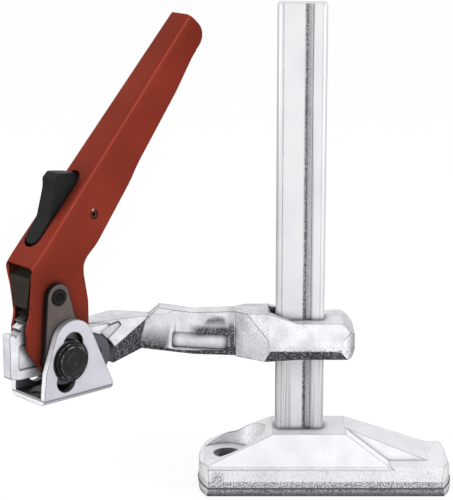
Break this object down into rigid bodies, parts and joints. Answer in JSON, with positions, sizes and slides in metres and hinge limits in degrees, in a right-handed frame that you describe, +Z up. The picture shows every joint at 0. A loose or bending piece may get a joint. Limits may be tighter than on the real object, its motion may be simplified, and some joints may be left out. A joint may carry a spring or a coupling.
{
  "type": "machine table clamp",
  "caption": "Bolt-down table clamp: a forged arm slides on an upright rail, and a ratchet lever presses a swivelling U-shaped bracket on the work.",
  "frame": {"origin": "on the rail's axis, in the plane of the base plate's underside", "axes": "+Z up along the rail, +X towards the long end of the base plate, away from the clamping head, -Y towards the operator"},
  "size_m": [0.2473, 0.0974, 0.275],
  "materials": {
    "zinc_cast": "bright zinc plated casting",
    "zinc_rail": "bright zinc plated drawn steel",
    "zinc_forged": "bright zinc plated forging",
    "zinc_sheet": "bright zinc plated sheet steel",
    "black_steel": "blackened steel",
    "dark_plate": "phosphated steel plate",
    "journal_black": "blackened turned steel",
    "pin_steel": "bright steel",
    "red_coat": "satin powder coat on sheet steel",
    "black_plastic": "moulded, matt"
  },
  "bodies": {
    "base": {"base_plate": "zinc_cast", "rail": "zinc_rail"},
    "arm": {"sliding_arm": "zinc_forged"},
    "lever": {"lever_handle": "red_coat", "side_plate_near": "dark_plate", "side_plate_far": "dark_plate", "plate_rivet_near": "black_steel", "plate_rivet_far": "black_steel", "pivot_pin": "black_steel", "pivot_washer_near": "black_steel", "pivot_washer_far": "black_steel", "pawl_pin": "pin_steel", "pawl_spring": "pin_steel"},
    "pawl": {"pawl": "black_steel", "trigger_button": "black_plastic"},
    "journals": {"journal_near": "journal_black", "journal_far": "journal_black"},
    "bracket": {"pressure_bracket": "zinc_sheet"}
  },
  "joints": [
    {"name": "arm_slide", "type": "slide", "parent": "base", "child": "arm", "axis": [0, 0, 1], "range_m": [-0.042, 0.165]},
    {"name": "lever_turn", "type": "hinge", "parent": "arm", "child": "lever", "pos_m": [-0.12141, -0.02108, 0.0855], "axis": [0.6691, -0.7431, 0], "range_deg": [0, 15]},
    {"name": "pawl_press", "type": "hinge", "parent": "lever", "child": "pawl", "pos_m": [-0.12045, -0.02022, 0.16484], "axis": [-0.6691, 0.7431, 0], "range_deg": [-1.5, 5]},
    {"name": "journal_turn", "type": "hinge", "parent": "lever", "child": "journals", "pos_m": [-0.13516, -0.03346, 0.087], "axis": [0.6691, -0.7431, 0], "range_deg": [-15, 0]},
    {"name": "bracket_tilt", "type": "hinge", "parent": "journals", "child": "bracket", "pos_m": [-0.13516, -0.03346, 0.087], "axis": [0.6691, -0.7431, 0], "range_deg": [-10, 10]}
  ],
  "couplings": [
    {"joint": "journal_turn", "follows": "lever_turn", "ratio": -1}
  ]
}
